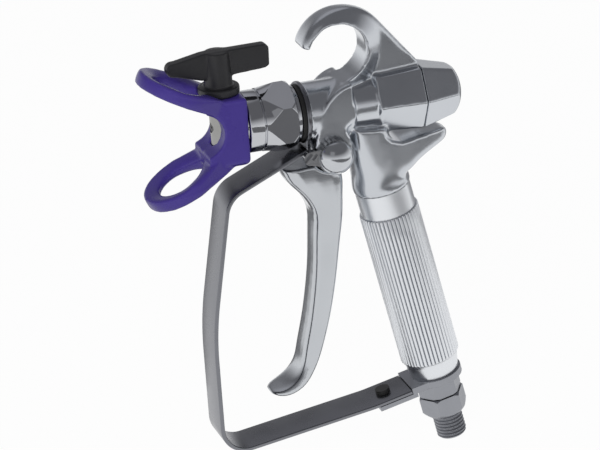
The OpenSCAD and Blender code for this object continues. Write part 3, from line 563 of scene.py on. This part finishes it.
def rounded_section(w, t, r, n=6):
    """Ring of a rectangle w by t whose corners are arcs of radius r."""
    a = np.linspace(0.0, math.pi / 2, n)
    mid = np.array([(1, 1), (-1, 1), (-1, -1), (1, -1)]) * [w / 2 - r, t / 2 - r]
    q = a[None] + np.arange(4)[:, None] * math.pi / 2
    return (mid[:, None] + r * np.stack([np.cos(q), np.sin(q)], -1)).reshape(-1, 2)


def make_strap():
    """Flat steel strap swept along its line, and the ring plate and tab that clamp it behind the nut."""
    width, thick, plate_x = 18.8, 1.8, -25.9
    line, side = strap_line()
    ring = rounded_section(width, thick, 0.55)
    rows = np.empty((len(line), len(ring), 3))
    rows[..., [0, 2]] = line[:, None] + side[:, None] * ring[None, :, 1:]
    rows[..., 1] = ring[None, :, 0]
    points, faces = skin(rows)
    turn = np.linspace(0.0, TURN, 97)[:-1]
    edge = rounded_section(4.62, thick, 0.5)
    r = 11.24 + edge[:, 0]
    plate = np.stack(np.broadcast_arrays(plate_x + edge[None, :, 1], r[None] * np.cos(turn)[:, None],
                                         r[None] * np.sin(turn)[:, None]), -1)
    p2, f2 = skin(plate, len(points), looped=True)
    tab = np.empty((2, len(ring), 3))
    tab[..., 0] = plate_x + ring[None, :, 1]
    tab[..., 1] = ring[None, :, 0]
    tab[..., 2] = np.array([[-9.6], [-14.9]])
    p3, f3 = skin(tab, len(points) + len(p2))
    put_piece("guard_strap", np.concatenate([points, p2, p3]), faces + f2 + f3, STEEL, "frame", "strap_steel",
              ("trigger_guard",), 40)


make_strap()

# Turned pieces: rings of points about an axis

def hexagon_r(angle, flats):
    """Radius of a hexagon with a flat at angle 0: half the width across flats over the cosine from the flat."""
    return flats / 2 / np.cos((angle + math.pi / 6) % (math.pi / 3) - math.pi / 6)


def make_nut():
    """Nut about the barrel: r = min(hexagon, turned). The turned radius is the root of 13.5 squared plus (1.07 x)
    squared, which cuts each flat to a straight-sided point, and then falls towards the back. The front is round."""
    bore, half_flats, hex_x, hex_len = 8.8, 13.5, -44.7, 16.0
    angle = np.linspace(0.0, TURN, 289)[:-1]
    x = np.linspace(0.0, hex_len, 120)
    turned = np.where(x < 7.3, np.sqrt(half_flats ** 2 + (1.07 * x) ** 2),
                      np.interp(x, (7.3, 11.4, 13.6, 14.4, 15.7, hex_len), (15.6, 15.6, 14.4, 12.6, 12.4, 12.1)))
    hexed = np.minimum(hexagon_r(angle, 2 * half_flats)[None], turned[:, None])
    front = np.array([(-53.7, bore), (-53.7, 10.1), (-53.4, 10.45), (-51.9, 10.5), (-51.8, 12.85), (-51.68, 13.12),
                      (-51.4, 13.26), (-51.0, 13.3), (-45.9, 13.3), (-45.6, 13.2), (-45.45, 13.0), (-45.4, 12.6),
                      (-44.78, 12.6), (-44.72, 13.3)])
    back = np.array([(hex_x + hex_len, bore)])
    ends = [np.broadcast_to(q[:, 1:], (len(q), len(angle))) for q in (front, back)]
    r = np.concatenate([ends[0], hexed, ends[1]])
    along = np.concatenate([front[:, 0], hex_x + x, back[:, 0]])[:, None]
    rows = np.stack(np.broadcast_arrays(along, r * np.cos(angle), r * np.sin(angle)), -1)
    put_piece("chrome_nut", *skin(rows, looped=True), CHROME, "nut", "nut_chrome", ("retaining_nut",), 50)


def make_grip():
    """Grip about the handle axis: a plain sleeve, then 46 flutes, r = 13 less 0.7 of a narrow valley wave of the
    angle, cut at the foot by a turned cone that starts just under the valleys. Shade is painted into the flute
    valleys by a mask handed to the finish."""
    flutes, crest, depth = 46, 13.0, 0.7
    top, sleeve, sleeve_r, bore = 40.03, 51.3, 12.1, 8.02
    angle = np.linspace(0.0, TURN, flutes * 16 + 1)[:-1]
    wave = np.abs((angle * flutes / TURN) % 1.0 - 0.5) * 2.0
    valley = 1.0 - np.clip(wave / 0.55, 0.0, 1.0) ** 0.8
    s = np.concatenate([[top, top, sleeve - 0.02, sleeve], np.linspace(sleeve + 0.4, 123.0, 8),
                        [123.4, 123.9, 124.3, 126.0, 128.0, 130.0, GRIP_END_S, GRIP_END_S]])
    turned = np.interp(s, (sleeve, sleeve + 0.4, 123.3, 124.3, GRIP_END_S), (12.7, 13.1, 13.1, 12.05, 10.6))
    r = np.minimum(crest - depth * valley[None], turned[:, None])
    r[1:3], r[[0, -1]] = sleeve_r, bore
    fluted = (s[:, None] > sleeve) & (s[:, None] < 124.0)
    # Painted shade mask: one at the bottom of each flute valley, fading out up the flanks, on the fluted length
    # only.
    dark = np.where(fluted, np.clip(valley * 1.4 - 0.4, 0.0, 1.0), 0.0)
    rows = on_handle(r * np.cos(angle), r * np.sin(angle), s[:, None])
    put_piece("fluted_grip", *skin(rows, looped=True), SATIN, "frame", "grip_aluminium", ("grip_tube",), 50, dark)


def make_inlet():
    """Hose fitting about the handle axis: r = min(hexagon, chamfers) above, then a thread whose radius is 6.58
    less 0.6 of a triangle wave of s / pitch - angle / turn, so that its ridge climbs as a helix."""
    flats, bore, shank_r, pitch, depth = 18.0, 3.52, 5.0, 1.62, 0.6
    shank, hex_top, end = 136.1, 143.3, 164.6
    angle = np.linspace(0.0, TURN, 193)[:-1]
    s = np.linspace(hex_top, THREAD_S, 60)
    turned = np.interp(s, (hex_top, 144.0, 150.4, THREAD_S), (9.5, 10.4, 10.4, 8.2))
    hexed = np.minimum(hexagon_r(angle + math.pi / 6, flats)[None], turned[:, None])
    d = np.linspace(THREAD_S + 0.05, end, 170)
    wave = np.abs(((d[:, None] / pitch - angle[None] / TURN) % 1.0) * 2.0 - 1.0)
    limit = np.interp(d, (THREAD_S + 0.05, 153.5, 153.9, 163.7, end), (5.8, 5.8, THREAD_R, THREAD_R, 5.75))
    thread = np.minimum(THREAD_R - depth * np.clip(wave * 1.25 - 0.1, 0, 1), limit[:, None])
    inner = np.full((1, len(angle)), bore)
    r = np.concatenate([inner, np.full((2, len(angle)), shank_r), hexed, thread, inner])
    down = np.concatenate([[shank, shank, hex_top - 0.05], s, d, [end]])[:, None]
    rows = on_handle(r * np.cos(angle), r * np.sin(angle), down)
    put_piece("hose_fitting", *skin(rows, looped=True), ZINC, "inlet", "inlet_zinc", ("inlet_fitting",), 50)


def make_dome():
    """Dome nut about the pivot: a short rim and a ball of radius 8.2 that grows out of it."""
    angle = np.linspace(0.0, TURN, 97)[:-1]
    fall = np.linspace(math.asin(DOME_RIM / DOME_BALL), 0.02, 40)
    r = np.concatenate([[3.1, 7.0, 7.25, DOME_RIM], DOME_BALL * np.sin(fall)])
    out = np.concatenate([[-16.32, -16.32, -16.4, -16.6], -13.7 - DOME_BALL * np.cos(fall)])
    rows = np.stack(np.broadcast_arrays(PIVOT[0] + r[:, None] * np.cos(angle), out[:, None],
                                        PIVOT[1] + r[:, None] * np.sin(angle)), -1)
    put_piece("ball_nut", *skin(rows), BRIGHT, "frame", "screw_steel", ("dome_nut",), 50)


make_nut()
make_grip()
make_inlet()
make_dome()
